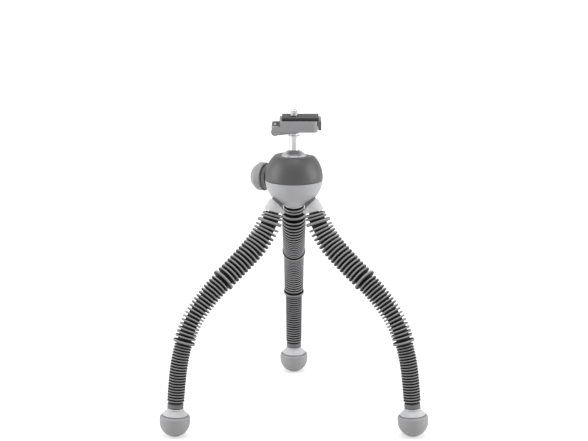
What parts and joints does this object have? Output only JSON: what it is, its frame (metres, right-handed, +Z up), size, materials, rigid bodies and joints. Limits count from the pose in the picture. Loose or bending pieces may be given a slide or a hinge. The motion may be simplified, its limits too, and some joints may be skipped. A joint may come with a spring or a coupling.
{
  "type": "flexible leg tripod",
  "caption": "Small camera tripod with bendable ribbed legs on rubber ball feet, a round hub with a lockable ball head, and a quick release plate with a camera screw.",
  "frame": {"origin": "middle of the bounding box on the floor that the feet stand on", "axes": "+Z up along the hub's axis and the camera screw, +X right and +Y to the rear leg, with the knob on the left"},
  "size_m": [0.2158, 0.1902, 0.2562],
  "materials": {
    "dark_shell": "satin dark grey moulding",
    "light_shell": "satin light grey moulding",
    "pale_plastic": "satin pale grey moulding",
    "knob_grey": "satin mid grey moulding",
    "clamp_grey": "satin grey paint",
    "plate_dark": "satin dark grey paint",
    "black_plastic": "matte black",
    "bright_metal": "polished",
    "steel": "turned",
    "leg_rubber": "matte black rubber with lighter worn rib edges",
    "foot_rubber": "matte grey rubber",
    "pad_rubber": "matte black rubber"
  },
  "bodies": {
    "hub": {"hub_lower_shell": "light_shell", "hub_upper_shell": "dark_shell", "leg_sockets": "pale_plastic", "leg_nuts": "steel"},
    "liner": {"ball_liner": "black_plastic"},
    "ball": {"ball_stem": "bright_metal", "clamp_screw": "steel"},
    "clamp": {"clamp_base": "clamp_grey", "lever_pin": "steel"},
    "lever": {"cam_lever": "clamp_grey"},
    "jaw": {"clamp_jaw": "steel"},
    "plate": {"quick_plate": "plate_dark", "plate_pad": "pad_rubber"},
    "screw": {"camera_screw": "steel"},
    "knob": {"knob_grip": "knob_grey", "knob_cap": "light_shell", "lock_screw": "steel"},
    "pad": {"pressure_pad": "black_plastic"},
    "rear_segment_1": {"rear_link_1": "black_plastic", "rear_upper_sleeve": "leg_rubber"},
    "rear_segment_2": {"rear_link_2": "black_plastic"},
    "rear_segment_3": {"rear_link_3": "black_plastic", "rear_middle_sleeve": "leg_rubber"},
    "rear_segment_4": {"rear_link_4": "black_plastic"},
    "rear_segment_5": {"rear_link_5": "black_plastic", "rear_lower_sleeve": "leg_rubber"},
    "rear_segment_6": {"rear_link_6": "black_plastic", "rear_foot_cap": "pale_plastic", "rear_foot_pad": "foot_rubber"},
    "left_segment_1": {"left_link_1": "black_plastic", "left_upper_sleeve": "leg_rubber"},
    "left_segment_2": {"left_link_2": "black_plastic"},
    "left_segment_3": {"left_link_3": "black_plastic", "left_middle_sleeve": "leg_rubber"},
    "left_segment_4": {"left_link_4": "black_plastic"},
    "left_segment_5": {"left_link_5": "black_plastic", "left_lower_sleeve": "leg_rubber"},
    "left_segment_6": {"left_link_6": "black_plastic", "left_foot_cap": "pale_plastic", "left_foot_pad": "foot_rubber"},
    "right_segment_1": {"right_link_1": "black_plastic", "right_upper_sleeve": "leg_rubber"},
    "right_segment_2": {"right_link_2": "black_plastic"},
    "right_segment_3": {"right_link_3": "black_plastic", "right_middle_sleeve": "leg_rubber"},
    "right_segment_4": {"right_link_4": "black_plastic"},
    "right_segment_5": {"right_link_5": "black_plastic", "right_lower_sleeve": "leg_rubber"},
    "right_segment_6": {"right_link_6": "black_plastic", "right_foot_cap": "pale_plastic", "right_foot_pad": "foot_rubber"}
  },
  "joints": [
    {"name": "ball_roll", "type": "hinge", "parent": "hub", "child": "liner", "pos_m": [0, -0.0276, 0.21152], "axis": [1, 0, 0], "range_deg": [-16, 16]},
    {"name": "ball_tilt", "type": "hinge", "parent": "liner", "child": "ball", "pos_m": [0, -0.0276, 0.21152], "axis": [0, 1, 0], "range_deg": [-28, 30]},
    {"name": "head_pan", "type": "hinge", "parent": "ball", "child": "clamp", "pos_m": [0, -0.0276, 0.23802], "axis": [0, 0, 1], "continuous": true},
    {"name": "lever_swing", "type": "hinge", "parent": "clamp", "child": "lever", "pos_m": [-0.015, -0.0276, 0.24052], "axis": [0, 1, 0], "range_deg": [0, 100]},
    {"name": "jaw_slide", "type": "slide", "parent": "clamp", "child": "jaw", "axis": [-1, 0, 0], "range_m": [0, 0.0005]},
    {"name": "plate_lift", "type": "slide", "parent": "clamp", "child": "plate", "axis": [0, 0, 1], "range_m": [0, 0.012]},
    {"name": "screw_turn", "type": "hinge", "parent": "plate", "child": "screw", "pos_m": [0, -0.0276, 0.25122], "axis": [0, 0, 1], "continuous": true},
    {"name": "knob_turn", "type": "hinge", "parent": "hub", "child": "knob", "pos_m": [-0.02035, -0.01585, 0.19882], "axis": [-0.866, 0.5, 0], "range_deg": [0, 270]},
    {"name": "pad_slide", "type": "slide", "parent": "hub", "child": "pad", "axis": [-0.866, 0.5, 0], "range_m": [0, 0.0006]},
    {"name": "rear_bend_1", "type": "hinge", "parent": "hub", "child": "rear_segment_1", "pos_m": [0, 0.00214, 0.15307], "axis": [1, 0, 0], "range_deg": [-61, 19], "deforming": ["rear_upper_sleeve"]},
    {"name": "rear_bend_2", "type": "hinge", "parent": "rear_segment_1", "child": "rear_segment_2", "pos_m": [0, 0.02479, 0.13339], "axis": [0, 0.6088, 0.7934], "range_deg": [-38, 38], "deforming": ["rear_upper_sleeve"]},
    {"name": "rear_bend_3", "type": "hinge", "parent": "rear_segment_2", "child": "rear_segment_3", "pos_m": [0, 0.04859, 0.11513], "axis": [-1, 0, 0], "range_deg": [-51.5, 28.5], "deforming": ["rear_middle_sleeve"]},
    {"name": "rear_bend_4", "type": "hinge", "parent": "rear_segment_3", "child": "rear_segment_4", "pos_m": [0, 0.06827, 0.09248], "axis": [1, 0, 0], "range_deg": [-17.5, 62.5], "deforming": ["rear_middle_sleeve"]},
    {"name": "rear_bend_5", "type": "hinge", "parent": "rear_segment_4", "child": "rear_segment_5", "pos_m": [0, 0.07779, 0.06403], "axis": [0, 0.9925, 0.1219], "range_deg": [-36, 36], "deforming": ["rear_lower_sleeve"]},
    {"name": "rear_bend_6", "type": "hinge", "parent": "rear_segment_5", "child": "rear_segment_6", "pos_m": [0, 0.08144, 0.03426], "axis": [-1, 0, 0], "range_deg": [-43.5, 36.5], "deforming": ["rear_lower_sleeve"]},
    {"name": "left_bend_1", "type": "hinge", "parent": "hub", "child": "left_segment_1", "pos_m": [-0.02576, -0.04247, 0.15307], "axis": [-0.5, 0.866, 0], "range_deg": [-61, 19], "deforming": ["left_upper_sleeve"]},
    {"name": "left_bend_2", "type": "hinge", "parent": "left_segment_1", "child": "left_segment_2", "pos_m": [-0.04536, -0.05379, 0.13339], "axis": [-0.5272, -0.3044, 0.7934], "range_deg": [-38, 38], "deforming": ["left_upper_sleeve"]},
    {"name": "left_bend_3", "type": "hinge", "parent": "left_segment_2", "child": "left_segment_3", "pos_m": [-0.06598, -0.06569, 0.11513], "axis": [0.5, -0.866, 0], "range_deg": [-51.5, 28.5], "deforming": ["left_middle_sleeve"]},
    {"name": "left_bend_4", "type": "hinge", "parent": "left_segment_3", "child": "left_segment_4", "pos_m": [-0.08302, -0.07553, 0.09248], "axis": [-0.5, 0.866, 0], "range_deg": [-17.5, 62.5], "deforming": ["left_middle_sleeve"]},
    {"name": "left_bend_5", "type": "hinge", "parent": "left_segment_4", "child": "left_segment_5", "pos_m": [-0.09126, -0.08029, 0.06403], "axis": [-0.8596, -0.4963, 0.1219], "range_deg": [-36, 36], "deforming": ["left_lower_sleeve"]},
    {"name": "left_bend_6", "type": "hinge", "parent": "left_segment_5", "child": "left_segment_6", "pos_m": [-0.09443, -0.08211, 0.03426], "axis": [0.5, -0.866, 0], "range_deg": [-43.5, 36.5], "deforming": ["left_lower_sleeve"]},
    {"name": "right_bend_1", "type": "hinge", "parent": "hub", "child": "right_segment_1", "pos_m": [0.02576, -0.04247, 0.15307], "axis": [-0.5, -0.866, 0], "range_deg": [-61, 19], "deforming": ["right_upper_sleeve"]},
    {"name": "right_bend_2", "type": "hinge", "parent": "right_segment_1", "child": "right_segment_2", "pos_m": [0.04536, -0.05379, 0.13339], "axis": [0.5272, -0.3044, 0.7934], "range_deg": [-38, 38], "deforming": ["right_upper_sleeve"]},
    {"name": "right_bend_3", "type": "hinge", "parent": "right_segment_2", "child": "right_segment_3", "pos_m": [0.06598, -0.06569, 0.11513], "axis": [0.5, 0.866, 0], "range_deg": [-51.5, 28.5], "deforming": ["right_middle_sleeve"]},
    {"name": "right_bend_4", "type": "hinge", "parent": "right_segment_3", "child": "right_segment_4", "pos_m": [0.08302, -0.07553, 0.09248], "axis": [-0.5, -0.866, 0], "range_deg": [-17.5, 62.5], "deforming": ["right_middle_sleeve"]},
    {"name": "right_bend_5", "type": "hinge", "parent": "right_segment_4", "child": "right_segment_5", "pos_m": [0.09126, -0.08029, 0.06403], "axis": [0.8596, -0.4963, 0.1219], "range_deg": [-36, 36], "deforming": ["right_lower_sleeve"]},
    {"name": "right_bend_6", "type": "hinge", "parent": "right_segment_5", "child": "right_segment_6", "pos_m": [0.09443, -0.08211, 0.03426], "axis": [0.5, 0.866, 0], "range_deg": [-43.5, 36.5], "deforming": ["right_lower_sleeve"]}
  ],
  "couplings": [
    {"joint": "jaw_slide", "follows": "lever_swing", "m_per_rad": 0.00028648},
    {"joint": "pad_slide", "follows": "knob_turn", "m_per_rad": 0.00012732}
  ]
}
